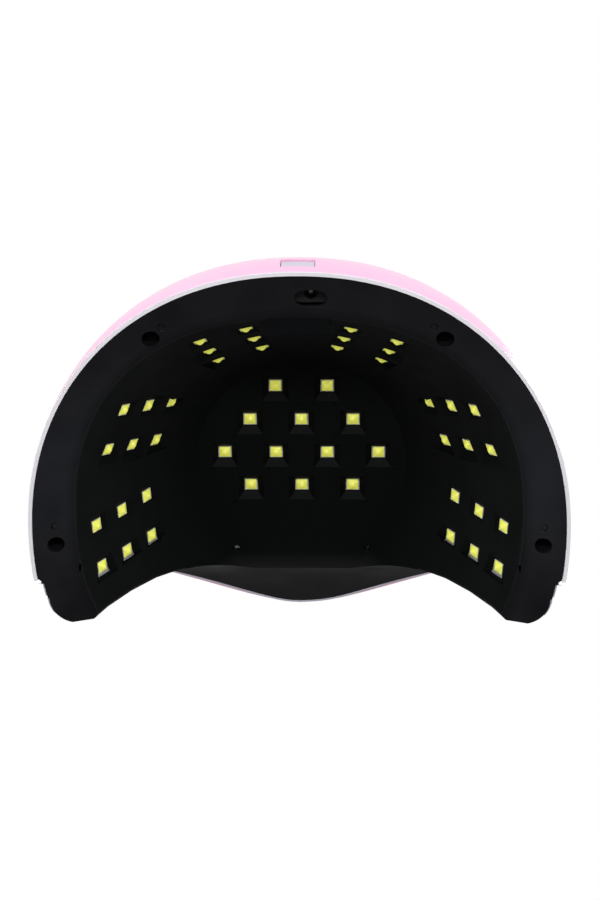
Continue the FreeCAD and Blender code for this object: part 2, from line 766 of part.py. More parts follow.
def wall_places():
    """Expressions for the six LED centres of a wall group."""
    around, up = "Dimensions.WallPitchAround", "Dimensions.WallPitchUp"
    return [(f"{column} * {around}", f"{row} * {up}")
            for column in (-0.5, 0.5) for row in (-1, 0, 1)]


def ceiling_places():
    """Expressions for the twelve LED centres of the ceiling."""
    pitch_x, pitch_y = "Dimensions.CeilingPitchX", "Dimensions.CeilingPitchY"
    return [(f"{column} * {pitch_x}", f"Dimensions.CeilingFirstRowY - {row} * {pitch_y}")
            for column, row in ceiling_led_places()]


def lens_solids(places, placement):
    """Yellow silicone lens on each LED: a square pillow with sloping sides."""
    side, tall = size("LensSize"), size("LensHeight")
    solids = []
    for x, y in places:
        lens = frustum(side * 0.55, side, tall, 0.0)
        lens.translate(Vector(x, y, -0.02))
        solids.append(lens)
    group = Part.makeCompound(solids)
    group.Placement = placement
    return group


def make_wall_group(group, word, side):
    """Board, LED packages and lenses of one wall group."""
    place = wall_group_placement(group, side)
    name = f"{group.lower()}_{word}"
    board = new_body(f"wall_led_board_{name}", place)
    sketch = plane_sketch(board, f"{name}_board")
    sketch.setExpression("AttachmentOffset.Base.z", "Dimensions.LedHeight + 0.01")
    wide, long = "Dimensions.WallBoardWidth", "Dimensions.WallBoardLength"
    add_rectangle(sketch, f"0 - {wide} / 2", f"0 - {long} / 2", wide, long)
    doc.recompute()
    pad(board, sketch, "Dimensions.BoardThickness")
    leds = new_body(f"wall_leds_{name}", place)
    led_squares(leds, f"{name}_leds", wall_places(), "Dimensions.LedSize", 0.0,
                "Dimensions.LedHeight")
    centres = led_grid(2, size("WallPitchAround"), 3, size("WallPitchUp"))
    add_shape(f"wall_lenses_{name}", lens_solids(centres, place))


def make_ceiling_group():
    """Round aluminium board with twelve LEDs above the bowl's ceiling."""
    face = size("CeilingHeight") + size("CeilingFunnelDepth")
    board = new_body("ceiling_led_board")
    sketch = plane_sketch(board, "ceiling_board")
    sketch.setExpression("AttachmentOffset.Base.z",
                         "Dimensions.CeilingHeight + Dimensions.CeilingFunnelDepth"
                         " + Dimensions.LedHeight + 0.01")
    add_circle(sketch, "0", "Dimensions.CeilingBoardY", "2 * Dimensions.CeilingBoardRadius")
    for place in ceiling_screw_places():
        add_circle(sketch, f"{place.x}", f"{place.y}", "2.4")
    doc.recompute()
    pad(board, sketch, "Dimensions.BoardThickness")
    leds = new_body("ceiling_leds")
    led_squares(leds, "ceiling_leds_sketch", ceiling_places(), "Dimensions.LedSize", face,
                "Dimensions.LedHeight")
    centres = [(column * size("CeilingPitchX"),
                size("CeilingFirstRowY") - row * size("CeilingPitchY"))
               for column, row in ceiling_led_places()]
    add_shape("ceiling_lenses", lens_solids(centres, Placement(Vector(0, 0, face), Rotation())))


# ---------------------------------------------------------------- simple blocks and screws


def add_block(label, centre, width, depth, tall, chamfer=0.0):
    """A rectangular component standing on z, driven from the sheet, with soft top edges."""
    body = new_body(label, Placement(centre, Rotation()))
    sketch = plane_sketch(body, label + "_plan")
    add_rectangle(sketch, f"0 - ({width}) / 2", f"0 - ({depth}) / 2", width, depth)
    doc.recompute()
    block = pad(body, sketch, tall)
    if chamfer:
        doc.recompute()
        top = block.Shape.BoundBox.ZMax
        names = [f"Edge{index + 1}" for index, edge in enumerate(block.Shape.Edges)
                 if abs(edge.CenterOfMass.z - top) < 1e-6]
        soft = body.newObject("PartDesign::Chamfer", label + "_edges")
        soft.Base = (block, names)
        soft.Size = chamfer
    return body


def screw(kind, shank_length, foot):
    """Pan-head screw pointing up, its head at foot, with a cross recess in the head."""
    head_radius, head_height, shank_radius = kind
    head = Part.makeCylinder(head_radius, head_height, foot)
    shank = Part.makeCylinder(shank_radius, shank_length, foot + Vector(0, 0, head_height))
    slot_wide, slot_long = head_radius * 0.25, head_radius * 1.2
    slots = []
    for wide, long in ((slot_wide, slot_long), (slot_long, slot_wide)):
        slots.append(Part.makeBox(wide, long, head_height * 0.5,
                                  foot - Vector(wide / 2, long / 2, 0.01)))
    return head.fuse(shank).cut(slots)


def downward(solid, top):
    """The same screw turned over, so that it points down from height top."""
    flip = Matrix()
    flip.A33 = -1
    flip.A34 = 2 * top
    return solid.transformGeometry(flip)


def ceiling_board_top():
    """Height of the upper face of the ceiling board."""
    return (size("CeilingHeight") + size("CeilingFunnelDepth") + size("LedHeight")
            + size("BoardThickness"))


def make_screws():
    """All screws, one group per kind."""
    head = HOUSING_SCREW[1]
    seat = Vector(0, 0, size("ScrewBossHeight") - size("ScrewBossRoof") - head - SNUG / 2)
    housing = [screw(HOUSING_SCREW, 12.0, place + seat) for place in screw_places()]
    add_shape("housing_screws", Part.makeCompound(housing))
    head = BOARD_SCREW[1]
    seat = Vector(0, 0, size("ControlBoardTop") - size("BoardThickness") - head - SNUG / 2)
    control = [screw(BOARD_SCREW, 6.0, place + seat) for place in post_places()]
    add_shape("control_board_screws", Part.makeCompound(control))
    top = ceiling_board_top() + SNUG
    ceiling = [downward(screw(BOARD_SCREW, 4.4, place + Vector(0, 0, top - head)), top)
               for place in ceiling_screw_places()]
    add_shape("ceiling_board_screws", Part.makeCompound(ceiling))


# ---------------------------------------------------------------- control panel


def button_places():
    """Centres of the four timer buttons."""
    return [Vector((index - 1.5) * size("ButtonPitch"), size("ButtonRowY"), 0) for index in range(4)]


def make_control_panel():
    """Glossy plate in the top of the shell, with four button holes."""
    body = new_body("control_panel")
    sketch = plane_sketch(body, "panel_plan")
    sketch.setExpression("AttachmentOffset.Base.z", "Dimensions.TopFlatHeight - Dimensions.PanelThickness")
    wide, long = "Dimensions.PanelWidth", "Dimensions.PanelLength"
    add_rectangle(sketch, f"0 - {wide} / 2", f"Dimensions.PanelY - {long} / 2", wide, long)
    doc.recompute()
    plate = pad(body, sketch, "Dimensions.PanelThickness")
    doc.recompute()
    names = [f"Edge{index + 1}" for index, edge in enumerate(plate.Shape.Edges)
             if abs(edge.tangentAt(edge.FirstParameter).z) > 0.9]
    corners = body.newObject("PartDesign::Fillet", "panel_corners")
    corners.Base = (plate, names)
    corners.setExpression("Radius", "Dimensions.PanelCorner")
    holes = plane_sketch(body, "button_holes")
    holes.setExpression("AttachmentOffset.Base.z", "Dimensions.TopFlatHeight")
    for index in range(4):
        add_circle(holes, f"{index - 1.5} * Dimensions.ButtonPitch", "Dimensions.ButtonRowY",
                   "Dimensions.ButtonDiameter + 2 * Dimensions.ButtonClearance")
    doc.recompute()
    before = corners.Shape.Volume
    cut = pocket(body, holes, "Dimensions.PanelThickness + 1")
    doc.recompute()
    if cut.Shape.Volume >= before:
        raise RuntimeError("the button holes cut nothing")


def make_timer_button(name, place):
    """Round cap with a flange that keeps it under the panel, and a stem to its switch."""
    body = new_body(name, Placement(place, Rotation()))
    top = "Dimensions.TopFlatHeight + Dimensions.ButtonRise"
    steps = (("cap", "Dimensions.ButtonDiameter", f"{top}", "Dimensions.ButtonRise + 2.4"),
             ("flange", "Dimensions.ButtonFlangeDiameter", "Dimensions.TopFlatHeight - 1.2", "1.2"),
             ("stem", "Dimensions.ButtonDiameter - 4", "Dimensions.TopFlatHeight - 2.2", "3.9"))
    for word, diameter, height, length in steps:
        sketch = plane_sketch(body, f"{name}_{word}")
        sketch.setExpression("AttachmentOffset.Base.z", height)
        add_circle(sketch, "0", "0", diameter)
        doc.recompute()
        pad(body, sketch, length, reverse=True)
        doc.recompute()
    last = body.Tip
    rim_height = evaluate(top)
    names = [f"Edge{index + 1}" for index, edge in enumerate(last.Shape.Edges)
             if abs(edge.CenterOfMass.z - rim_height) < 1e-6]
    soft = body.newObject("PartDesign::Fillet", name + "_edge")
    soft.Base = (last, names)
    soft.Radius = 0.5


def make_tact_switches():
    """Four key switches on the control board, one under each button."""
    board = Vector(0, 0, size("ControlBoardTop") + SNUG / 2)
    side, tall = 6.0, 3.5
    plunger_radius, plunger_tall = 1.7, 4.2
    solids = []
    for place in button_places():
        foot = place + board
        case = Part.makeBox(side, side, tall, foot - Vector(side / 2, side / 2, 0))
        solids.append(case.fuse(Part.makeCylinder(plunger_radius, plunger_tall, foot)))
    add_shape("tact_switches", Part.makeCompound(solids))


def make_display():
    """Two-digit display block and its light segments."""
    foot = Vector(0, size("DisplayY"), size("ControlBoardTop") + 0.02)
    add_block("display_module", foot, "Dimensions.DisplayWidth", "Dimensions.DisplayDepth",
              "Dimensions.DisplayHeight")
    face = foot.z + size("DisplayHeight") + 0.02
    half, bar, tall, space = 3.2, 1.1, 5.4, 0.8
    solids = []

    def segment(wide, long, x, y):
        corner = Vector(x - wide / 2, foot.y + y - long / 2, face)
        solids.append(Part.makeBox(wide, long, 0.3, corner))

    for centre_x in (-5.6, 5.6):
        for y in (-tall, 0, tall):
            segment(2 * (half - space), bar, centre_x, y)
        for x in (centre_x - half, centre_x + half):
            for y in (-tall / 2, tall / 2):
                segment(bar, tall - 2 * space, x, y)
    add_shape("display_segments", Part.makeCompound(solids))


def make_control_board():
    """Circuit board under the panel, with the parts it carries."""
    body = new_body("control_board", Placement(Vector(0, size("PanelY"), 0), Rotation()))
    sketch = plane_sketch(body, "control_board_plan")
    sketch.setExpression("AttachmentOffset.Base.z", "Dimensions.ControlBoardTop")
    wide, long = "Dimensions.ControlBoardWidth", "Dimensions.ControlBoardLength"
    add_rectangle(sketch, f"0 - {wide} / 2", f"0 - {long} / 2", wide, long)
    for x, y in ((-0.5, -0.5), (-0.5, 0.5), (0.5, -0.5), (0.5, 0.5)):
        add_circle(sketch, f"{x} * Dimensions.PostSpacingX", f"{y} * Dimensions.PostSpacingY", "2.4")
    doc.recompute()
    pad(body, sketch, "Dimensions.BoardThickness", reverse=True)
    top = size("ControlBoardTop") + 0.02
    add_block("controller_chip", Vector(-22, -30, top), "9", "9", "1.6", 0.3)
    add_block("power_inductor", Vector(-23, -44, top), "10", "10", "5", 0.8)
    can_radius, can_tall = 4.0, 8.0
    cans = []
    for y in (-32, -43):
        can = Part.makeCylinder(can_radius, can_tall, Vector(23, y, top))
        rim = [edge for edge in can.Edges if abs(edge.CenterOfMass.z - top - can_tall) < 1e-6]
        cans.append(can.makeFillet(0.6, rim))
    add_shape("capacitors", Part.makeCompound(cans))
    buzzer_foot, buzzer_tall, vent_depth = Vector(0, -46, top), 6.5, 1.5
    buzzer = Part.makeCylinder(5.6, buzzer_tall, buzzer_foot)
    vent = Part.makeCylinder(1, 2, buzzer_foot + Vector(0, 0, buzzer_tall - vent_depth))
    add_shape("buzzer", buzzer.cut(vent))


# ---------------------------------------------------------------- power entry and hand sensor


def make_power_button():
    """Rectangular cap in the back wall: its face follows the dome, a flange keeps it in."""
    wide, tall = size("PowerWidth"), size("PowerTall")
    flange_y, wall, rim = size("PowerFlangeY"), size("PowerFlangeWall"), size("PowerFlangeRim")
    cap = power_window(0.0, flange_y - 0.1, 120).common(dome(size("PowerRecess")))
    flange = power_window(rim, flange_y - wall, flange_y)
    add_shape("power_button", cap.fuse(flange))


def make_power_entry():
    """Small board with the supply socket below it and the power switch on it."""
    deck, low = size("PowerBoardHeight"), 9.4
    x, y = size("InletX"), size("InletY")
    add_block("power_board", Vector(0, 83.0, deck), "30", "10.6", "1.2")
    wide, long, roof = 14.0, 8.2, 1.5
    corner = Vector(x - wide / 2, y - long / 2, low)
    housing = Part.makeBox(wide, long, deck - low - SNUG / 2, corner)
    bore = Part.makeCylinder(2.75, deck - low - roof, Vector(x, y, low - 0.5))
    add_shape("power_socket", housing.cut(bore))
    pin_foot = low + 1.4
    pin = Part.makeCylinder(1.0, deck - roof - 0.5 - SNUG - pin_foot, Vector(x, y, pin_foot))
    tip = [edge for edge in pin.Edges if abs(edge.CenterOfMass.z - pin_foot) < 1e-6]
    add_shape("socket_pin", pin.makeFillet(0.4, tip))
    switch_back = size("PowerFlangeY") - size("PowerFlangeWall") - size("PowerTravel") - 2 * SNUG
    case_wide, case_deep, plunger_length = 8.0, 7.5, 2.0
    case_front = switch_back - plunger_length / 2 - case_deep
    case = Part.makeBox(case_wide, case_deep, 5, Vector(-case_wide / 2, case_front, deck + 1.22))
    plunger = Part.makeCylinder(1.2, plunger_length, Vector(0, switch_back - plunger_length, deck + 3.7),
                                Vector(0, 1, 0))
    add_shape("power_switch", case.fuse(plunger))


def make_hand_sensor():
    """Infra-red emitter and receiver set back in the ceiling, on one strip board."""
    ceiling, board_foot = size("CeilingHeight"), 4.65
    radius, set_back = size("SensorDiameter") / 2, 1.4
    for name, side in (("hand_sensor_emitter", 1), ("hand_sensor_receiver", -1)):
        foot = Vector(side * size("SensorX"), size("SensorY"), ceiling + set_back + radius)
        bulb = Part.makeCylinder(radius, board_foot - 9 * SNUG - set_back - radius, foot)
        add_shape(name, bulb.fuse(Part.makeSphere(radius, foot)))
    add_block("hand_sensor_board", Vector(0, size("SensorY"), ceiling + board_foot), "72", "7", "1.2")


# ---------------------------------------------------------------- wiring


def wire_along(points, radius):
    """Round wire through the points."""
    curve = Part.BSplineCurve()
    curve.interpolate(Points=points)
    path = Part.Wire([curve.toShape()])
    section = Part.Wire([Part.makeCircle(radius, points[0], curve.tangent(curve.FirstParameter)[0])])
    return path.makePipeShell([section], True, True)


def make_wiring():
    """Supply pair from the power board, and one lead per wall board."""
    route = ((80, 17.4), (74, 38), (54, 66), (38, 78.2), (14, 80.6), (-12, 81.4))
    pair = [wire_along([Vector(x, y, z) for y, z in route], 0.8) for x in (6.0, 8.4)]
    add_shape("supply_wires", Part.makeCompound(pair))
    leads = []
    radius = 0.7
    board_face = size("LedHeight") + size("BoardThickness") + radius + 0.3
    middle = Vector(0, size("CeilingBoardY"), ceiling_board_top() + radius + 0.1)
    for group, word, side in WALL_GROUPS:
        place = wall_group_placement(group, side)
        start = place.multVec(Vector(0, 12, board_face))
        bend = place.multVec(Vector(0, 26, board_face + 6))
        outward = Vector(start.x, start.y - size("BowlWidestY"), 0).normalize()
        over = middle + outward * (size("CeilingBoardRadius") + 4) + Vector(0, 0, 2)
        end = middle + outward * (size("CeilingBoardRadius") - 6)
        leads.append(wire_along([start, bend, over, end], radius))
    add_shape("wall_board_leads", Part.makeCompound(leads))


# ---------------------------------------------------------------- build, check, write


def check_document():
    """Stops on any failed object and on any sub-part that is not a valid solid."""
    for item in doc.Objects:
        if "Invalid" in item.State or "Error" in item.State:
            raise RuntimeError(f"{item.Name} failed to compute")
    for item in SUBPARTS:
        if item.Shape.isNull() or not item.Shape.isValid() or not item.Shape.Solids:
            raise RuntimeError(f"{item.Label} is not a valid solid")


HULL = dome(0)
INNER = dome(size("ShellWall"))
add_shape("outer_shell", make_outer_shell(HULL, INNER))
add_shape("base_trim_ring", make_base_trim_ring(HULL))
add_shape("front_frame", make_front_frame())
add_shape("inner_liner", make_inner_liner())
for group, word, side in WALL_GROUPS:
    make_wall_group(group, word, side)
make_ceiling_group()
make_control_panel()
for seconds, place in zip((10, 30, 60, 99), button_places()):
    make_timer_button(f"timer_button_{seconds}", place)
make_tact_switches()
make_display()
make_control_board()
make_power_button()
make_power_entry()
make_hand_sensor()
make_wiring()
make_screws()

doc.recompute()
check_document()
for item in SUBPARTS:
    item.Shape.exportStep(f"parts/{item.Label}.step")
    print(item.Label, len(item.Shape.Solids), round(item.Shape.Volume, 1))
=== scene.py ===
"""UV LED nail lamp: materials, LEDs, key legends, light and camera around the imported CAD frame."""
import json
import math

import bmesh
import bpy
from mathutils import Matrix, Vector

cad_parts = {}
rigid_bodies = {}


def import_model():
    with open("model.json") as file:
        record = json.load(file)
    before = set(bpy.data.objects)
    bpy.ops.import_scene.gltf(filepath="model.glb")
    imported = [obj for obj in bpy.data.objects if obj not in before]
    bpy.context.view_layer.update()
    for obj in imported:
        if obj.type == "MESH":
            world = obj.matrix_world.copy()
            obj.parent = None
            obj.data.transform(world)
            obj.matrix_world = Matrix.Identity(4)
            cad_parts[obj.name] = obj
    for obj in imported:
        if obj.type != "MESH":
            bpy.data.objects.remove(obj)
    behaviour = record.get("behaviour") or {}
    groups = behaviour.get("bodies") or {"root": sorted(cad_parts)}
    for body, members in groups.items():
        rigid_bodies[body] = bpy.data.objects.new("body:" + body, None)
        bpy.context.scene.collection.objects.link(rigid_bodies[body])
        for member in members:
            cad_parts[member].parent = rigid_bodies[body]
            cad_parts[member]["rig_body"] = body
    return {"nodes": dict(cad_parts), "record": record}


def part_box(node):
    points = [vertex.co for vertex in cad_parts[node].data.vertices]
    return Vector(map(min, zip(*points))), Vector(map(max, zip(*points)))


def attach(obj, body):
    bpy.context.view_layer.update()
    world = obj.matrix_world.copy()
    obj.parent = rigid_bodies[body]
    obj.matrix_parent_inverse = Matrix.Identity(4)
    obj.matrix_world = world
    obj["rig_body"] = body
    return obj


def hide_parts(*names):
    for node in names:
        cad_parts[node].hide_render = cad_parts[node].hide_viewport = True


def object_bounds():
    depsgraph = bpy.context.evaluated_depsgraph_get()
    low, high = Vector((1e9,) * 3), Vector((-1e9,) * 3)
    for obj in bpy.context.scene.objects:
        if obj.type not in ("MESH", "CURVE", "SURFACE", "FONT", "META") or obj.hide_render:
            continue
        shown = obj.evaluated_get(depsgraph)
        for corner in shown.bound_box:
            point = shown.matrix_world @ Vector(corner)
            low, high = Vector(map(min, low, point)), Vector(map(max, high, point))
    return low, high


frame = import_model()
CAD_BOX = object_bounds()
NODES = frame["nodes"]
LOW, HIGH = CAD_BOX
MM = 0.001

# Base colours of the black liner, linear; the rim's lit and shaded copies are painted light and painted
# shade, and the lip colour is a painted highlight.
RIM_PAINTED_SHADE = (0.0028, 0.0027, 0.0042)
RIM_PAINTED_LIGHT = (0.0100, 0.0108, 0.0138)
BOWL_SHADE = (0.0026, 0.0033, 0.0030)
LIP_PAINTED_LIGHT = (0.016, 0.016, 0.017)
DUST = (0.10, 0.10, 0.11)

# The lens against the width of its package, and how deep it sits in the rim.
LENS_WIDTH_SHARE = 0.93
LENS_RISE_SHARE = 0.3
LENS_SINK = 0.08 * MM
LENS_FOOT = 0.12 * MM
PAD_DEPTH = 0.06 * MM
PRINT_HEIGHT = 0.012 * MM

# Each soft light: place and aim in metres, power in watts, width and height.
LIGHTS = {
    "side_left": ((0.9, 0.1, -0.5), (0, 0, 0.03), 3, 0.5, 0.9),
    "side_right": ((-0.9, 0.1, -0.5), (0, 0, 0.03), 3, 0.5, 0.9),
    "low_fill": ((0, 0.85, -0.95), (0, 0, 0.06), 9, 0.6, 0.3),
    "top_key": ((-0.5, -0.5, 1.1), (0, 0, 0.05), 8, 0.7, 0.5),
    "back_fill": ((0, 1.0, -0.25), (0, 0, 0.06), 2.0, 0.8, 0.3),
}

# The camera looks up from behind: tilt from the vertical, then two small turns.
CAMERA_PLACE = (-0.0153, 0.3544, -0.737)
CAMERA_TILT = math.radians(24.5)
CAMERA_YAW = math.radians(0.98)
CAMERA_ROLL = math.radians(0.34)
CAMERA_LENS = 78
CAMERA_SENSOR = 36
# Painted light on the funnels' front faces, which face the back.
FUNNEL_PAINTED_LIGHT = (0.0085, 0.0090, 0.0095)

# ---------------------------------------------------------------- node helpers


class Shader:
    """A material with one Principled shader, and short calls to add nodes to it."""

    def __init__(self, name, color, roughness, **inputs):
        self.material = bpy.data.materials.new(name)
        self.material.use_nodes = True
        self.tree = self.material.node_tree
        self.main = self.tree.nodes["Principled BSDF"]
        self.output = self.tree.nodes["Material Output"]
        self.coordinates = self.tree.nodes.new("ShaderNodeTexCoord")
        self.place = self.coordinates.outputs["Object"]
        self.set(self.main, "Base Color", (*color, 1))
        self.set(self.main, "Roughness", roughness)
        for key, value in inputs.items():
            self.set(self.main, key.replace("_", " "), value)

    def set(self, node, key, value):
        """Sets a socket to a number or colour, or links it to another socket."""
        if isinstance(value, bpy.types.NodeSocket):
            self.tree.links.new(value, node.inputs[key])
        else:
            node.inputs[key].default_value = value

    def node(self, kind, settings=(), **inputs):
        made = self.tree.nodes.new("ShaderNode" + kind)
        for key, value in dict(settings).items():
            setattr(made, key, value)
        for key, value in inputs.items():
            self.set(made, key.replace("_", " "), value)
        return made

    def noise(self, size_mm, detail=3.0, rough=0.5):
        """Noise with features about size_mm across, 0 to 1."""
        made = self.node("TexNoise", Vector=self.place, Scale=1 / (size_mm * MM),
                         Detail=detail, Roughness=rough)
        return made.outputs["Fac"]

    def remap(self, value, low, high, out_low, out_high):
        made = self.node("MapRange", Value=value)
        for index, number in zip((1, 2, 3, 4), (low, high, out_low, out_high)):
            made.inputs[index].default_value = number
        return made.outputs["Result"]

    def math(self, operation, first, second=0.5):
        made = self.tree.nodes.new("ShaderNodeMath")
        made.operation = operation
        for index, value in enumerate((first, second)):
            if isinstance(value, bpy.types.NodeSocket):
                self.tree.links.new(value, made.inputs[index])
            else:
                made.inputs[index].default_value = value
        return made.outputs["Value"]

    def mix_color(self, share, first, second):
        made = self.node("Mix", {"data_type": "RGBA"})
        for index, value in ((0, share), (6, first), (7, second)):
            if isinstance(value, bpy.types.NodeSocket):
                self.tree.links.new(value, made.inputs[index])
            else:
                made.inputs[index].default_value = value if index == 0 else (*value, 1)
        return made.outputs[2]

    def uneven_gloss(self, size_mm, low, high):
        """Roughness that drifts between two values over patches of this size."""
        patches = self.remap(self.noise(size_mm, 4), 0.3, 0.7, low, high)
        self.set(self.main, "Roughness", patches)

    def bump(self, heights, edge_mm=0.0):
        """Chains bumps, each (height socket, depth in mm), over softly rounded edges."""
        normal = None
        if edge_mm:
            rounded = self.node("Bevel", {"samples": 4}, Radius=edge_mm * MM)
            normal = rounded.outputs["Normal"]
        for height, depth_mm in heights:
            made = self.node("Bump", Height=height, Distance=depth_mm * MM)
            made.inputs["Strength"].default_value = 1.0
            if normal is not None:
                self.set(made, "Normal", normal)
            normal = made.outputs["Normal"]
        self.set(self.main, "Normal", normal)


def linear(red, green, blue):
    """Linear colour from ordinary 0-255 screen values."""
    return tuple(((c / 255 + 0.055) / 1.055) ** 2.4 if c > 10 else c / 255 / 12.92
                 for c in (red, green, blue))


# ---------------------------------------------------------------- materials


def pink_gloss():
    """Glossy pastel moulding: lacquer-like coat, faint ripple, a shine that drifts."""
    shader = Shader("pink_gloss", linear(248, 180, 219), 0.32, Coat_Weight=0.45, Coat_Roughness=0.07,
                    Subsurface_Weight=0.06, Subsurface_Scale=1.5 * MM)
    shader.set(shader.main, "Subsurface Radius", (1.0, 0.55, 0.8))
    ripple = shader.noise(9, 2)
    grain = shader.noise(0.5, 2)
    tint = shader.mix_color(shader.remap(shader.noise(28, 4), 0.35, 0.65, 0, 1),
                            linear(248, 178, 218), linear(249, 185, 221))
    shader.set(shader.main, "Base Color", tint)
    shader.uneven_gloss(14, 0.29, 0.38)
    shader.bump([(ripple, 0.02), (grain, 0.003)], 0.35)
    return shader.material


def white_gloss():
    """Polished white moulding of the base ring."""
    shader = Shader("white_gloss", linear(238, 234, 240), 0.22, Coat_Weight=0.4, Coat_Roughness=0.08)
    shader.uneven_gloss(6, 0.16, 0.26)
    shader.bump([(shader.noise(0.6, 2), 0.004)], 0.25)
    return shader.material


def pale_frame():
    """Satin off-white moulding of the front arch."""
    shader = Shader("pale_frame", linear(205, 198, 212), 0.3, Coat_Weight=0.25, Coat_Roughness=0.15)
    shader.uneven_gloss(5, 0.29, 0.42)
    shader.bump([(shader.noise(0.5, 2), 0.004)], 0.2)
    return shader.material


def black_liner():
    """Black moulding with a fine spark-eroded texture: a satin rim and a dull bowl, with painted light on
    the rim's sides, the funnels' front faces and the brow, and painted shade down into the bowl.
    """
    shader = Shader("black_liner", BOWL_SHADE, 0.5)
    texture = shader.noise(0.22, 3, 0.6)
    smudges_and_light_patches = shader.noise(22, 5, 0.6)
    split = shader.node("SeparateXYZ", Vector=shader.place)
    reach, height = split.outputs["Y"], split.outputs["Z"]
    facing = shader.node("SeparateXYZ", Vector=shader.coordinates.outputs["Normal"]).outputs["Y"]

    # Blend from rim to bowl by height; the colour step down into the bowl and the wells is painted shade.
    in_bowl = shader.remap(height, 4.2 * MM, 6.4 * MM, 0, 1)
    # Painted side light: the rim is lighter at its left and right sides and darker towards front and back,
    # patchy with the smudge noise.
    off_middle = shader.math("ABSOLUTE", shader.math("SUBTRACT", reach, 5 * MM), 0)
    painted_side_light = shader.math("MULTIPLY", shader.remap(off_middle, 12 * MM, 62 * MM, 1, 0),
                          shader.remap(smudges_and_light_patches, 0.3, 0.7, 0.75, 1))
    # Painted light: bowl faces turned to the back, the funnels' front faces, get a lighter colour.
    funnel_painted_light = shader.math("MULTIPLY", shader.remap(facing, 0.55, 0.75, 0, 1), in_bowl)
    # Painted highlight on the brow at the front top of the bowl.
    painted_brow_light = shader.math("MULTIPLY", shader.remap(reach, -66 * MM, -78 * MM, 0, 1),
                       shader.remap(height, 55 * MM, 68 * MM, 0, 1))
    dust = shader.remap(shader.noise(0.8, 1), 0.76, 0.8, 0, 1)

    rim = shader.mix_color(painted_side_light, RIM_PAINTED_SHADE, RIM_PAINTED_LIGHT)
    bowl = shader.mix_color(funnel_painted_light, BOWL_SHADE, FUNNEL_PAINTED_LIGHT)
    shade = shader.mix_color(painted_brow_light, shader.mix_color(in_bowl, rim, bowl), LIP_PAINTED_LIGHT)
    shader.set(shader.main, "Base Color",
               shader.mix_color(shader.math("MULTIPLY", dust, 0.08), shade, DUST))

    rough = shader.remap(smudges_and_light_patches, 0.3, 0.7, 0.4, 0.58)
    duller = shader.math("MULTIPLY", in_bowl, 0.2)
    shader.set(shader.main, "Roughness", shader.math("ADD", rough, duller))
    shader.set(shader.main, "Specular IOR Level", shader.remap(height, 3.8 * MM, 5.6 * MM, 0.30, 0.06))
    shader.bump([(texture, 0.012)], 0.25)
    return shader.material


def white_key():
    """Smooth white key caps."""
    shader = Shader("white_key", linear(244, 240, 243), 0.35, Coat_Weight=0.2, Coat_Roughness=0.2)
    shader.uneven_gloss(3, 0.28, 0.45)
    shader.bump([(shader.noise(0.35, 2), 0.004)], 0.25)
    return shader.material


def grey_key():
    """Pale grey power key with a fine grain."""
    shader = Shader("grey_key", linear(205, 198, 212), 0.45)
    shader.uneven_gloss(3, 0.38, 0.55)
    shader.bump([(shader.noise(0.3, 3), 0.01)], 0.3)
    return shader.material


def key_print():
    """Grey ink of the numbers on the keys."""
    shader = Shader("key_print", linear(120, 92, 112), 0.55)
    shader.bump([(shader.noise(0.15, 2), 0.003)])
    return shader.material


def smoked_panel():
    """Black glossy plate, clear enough over the display to let its light through."""
    shader = Shader("smoked_panel", (0.006, 0.006, 0.007), 0.09, Coat_Weight=0.6, Coat_Roughness=0.03)
    shader.uneven_gloss(12, 0.06, 0.16)
    shader.bump([(shader.noise(7, 2), 0.006)], 0.3)
    low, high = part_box("display_module")
    middle, half = (low + high) / 2, (high - low) / 2 - Vector((1.2 * MM, 1.2 * MM, 0))
    away = shader.node("VectorMath", {"operation": "SUBTRACT"})
    shader.tree.links.new(shader.place, away.inputs[0])
    away.inputs[1].default_value = middle
    size = shader.node("VectorMath", {"operation": "ABSOLUTE"})
    shader.tree.links.new(away.outputs[0], size.inputs[0])
    split = shader.node("SeparateXYZ", Vector=size.outputs[0])
    inside = shader.math("MULTIPLY", shader.math("LESS_THAN", split.outputs["X"], half.x),
                         shader.math("LESS_THAN", split.outputs["Y"], half.y))
    tint = shader.node("BsdfTransparent", Color=(0.32, 0.27, 0.27, 1))
    gloss = shader.node("BsdfGlossy", Color=(1, 1, 1, 1), Roughness=0.08)
    fresnel = shader.node("Fresnel", IOR=1.45)
    window = shader.node("MixShader", Fac=fresnel.outputs[0])
    shader.tree.links.new(tint.outputs[0], window.inputs[1])
    shader.tree.links.new(gloss.outputs[0], window.inputs[2])
    mix = shader.node("MixShader", Fac=inside)
    shader.tree.links.new(shader.main.outputs[0], mix.inputs[1])
    shader.tree.links.new(window.outputs[0], mix.inputs[2])
    shader.tree.links.new(mix.outputs[0], shader.output.inputs["Surface"])
    return shader.material


def display_light():
    """Red segments, with two left dark so that the pair reads 60."""
    shader = Shader("display_light", (0.10, 0.006, 0.004), 0.4)
    low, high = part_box("display_segments")
    middle, half = (low + high) / 2, (high - low) / 2
    split = shader.node("SeparateXYZ", Vector=shader.place)
    across, along = split.outputs["X"], split.outputs["Y"]

    def between(value, start, end):
        return shader.math("MULTIPLY", shader.math("GREATER_THAN", value, start),
                           shader.math("LESS_THAN", value, end))

    right_top = shader.math("MULTIPLY", between(across, middle.x - half.x * 0.32, middle.x),
                            between(along, middle.y + half.y * 0.12, middle.y + half.y * 0.82))
    zero_bar = shader.math("MULTIPLY", between(across, middle.x + half.x * 0.3, high.x - half.x * 0.12),
                           between(along, middle.y - half.y * 0.12, middle.y + half.y * 0.12))
    dark = shader.math("MAXIMUM", right_top, zero_bar)
    shader.set(shader.main, "Emission Color", (1.0, 0.06, 0.03, 1))
    shader.set(shader.main, "Emission Strength", shader.math(
        "MULTIPLY", shader.math("SUBTRACT", 1.0, dark), 9.0))
    shader.bump([(shader.noise(0.4, 1), 0.003)])
    return shader.material


